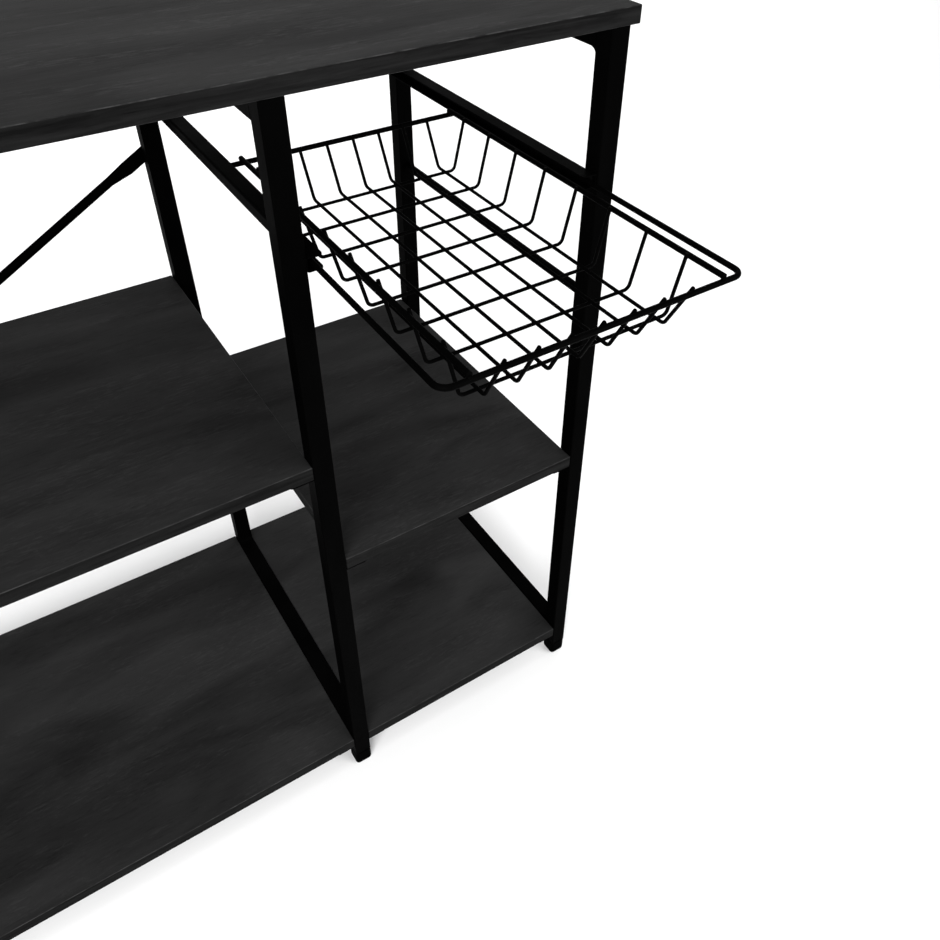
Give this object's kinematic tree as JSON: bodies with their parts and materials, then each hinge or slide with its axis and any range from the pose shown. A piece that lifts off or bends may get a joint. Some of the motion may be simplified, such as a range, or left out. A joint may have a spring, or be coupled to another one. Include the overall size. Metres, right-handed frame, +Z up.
{
  "type": "kitchen rack",
  "caption": "Kitchen rack of black square steel tube with a dark worktop, stepped shelves, a base shelf and a wire basket that slides in channel runners under the worktop.",
  "frame": {"origin": "on the floor, at the centre of the outline that the rack and its drawn basket cover", "axes": "+X to the right along the worktop's length, +Y to the rear, +Z up"},
  "size_m": [0.9, 0.597, 0.865],
  "materials": {
    "frame_coat": "satin black powder coat",
    "basket_coat": "satin black coat on wire",
    "worktop_board": "dark grey wood-grain laminate, matte",
    "shelf_board": "dark grey wood-grain laminate, matte",
    "foot_plastic": "matte black",
    "screw_steel": "zinc plated",
    "bolt_black": "blackened, satin"
  },
  "bodies": {
    "rack": {"left_front_post": "frame_coat", "left_rear_post": "frame_coat", "left_top_tube": "frame_coat", "left_bottom_tube": "frame_coat", "middle_front_post": "frame_coat", "middle_rear_post": "frame_coat", "middle_top_tube": "frame_coat", "middle_bottom_tube": "frame_coat", "right_front_post": "frame_coat", "right_rear_post": "frame_coat", "right_top_tube": "frame_coat", "right_bottom_tube": "frame_coat", "left_guard_rod": "frame_coat", "right_guard_rod": "frame_coat", "frame_corner_welds": "frame_coat", "shelf_tabs": "frame_coat", "left_runner": "frame_coat", "right_runner": "frame_coat", "rising_brace": "frame_coat", "falling_brace": "frame_coat", "worktop": "worktop_board", "left_shelf": "shelf_board", "right_shelf": "shelf_board", "left_base_shelf": "shelf_board", "right_base_shelf": "shelf_board", "feet": "foot_plastic", "worktop_screws": "screw_steel", "shelf_screws": "screw_steel", "runner_screws": "bolt_black", "brace_bolts": "bolt_black", "brace_rivet": "bolt_black"},
    "basket": {"basket_rim": "basket_coat", "basket_side_wires": "basket_coat", "basket_cross_wires": "basket_coat", "basket_long_wires": "basket_coat"}
  },
  "joints": [
    {"name": "basket_slide", "type": "slide", "parent": "rack", "child": "basket", "axis": [0, -1, 0], "range_m": [-0.179, 0.1]}
  ]
}
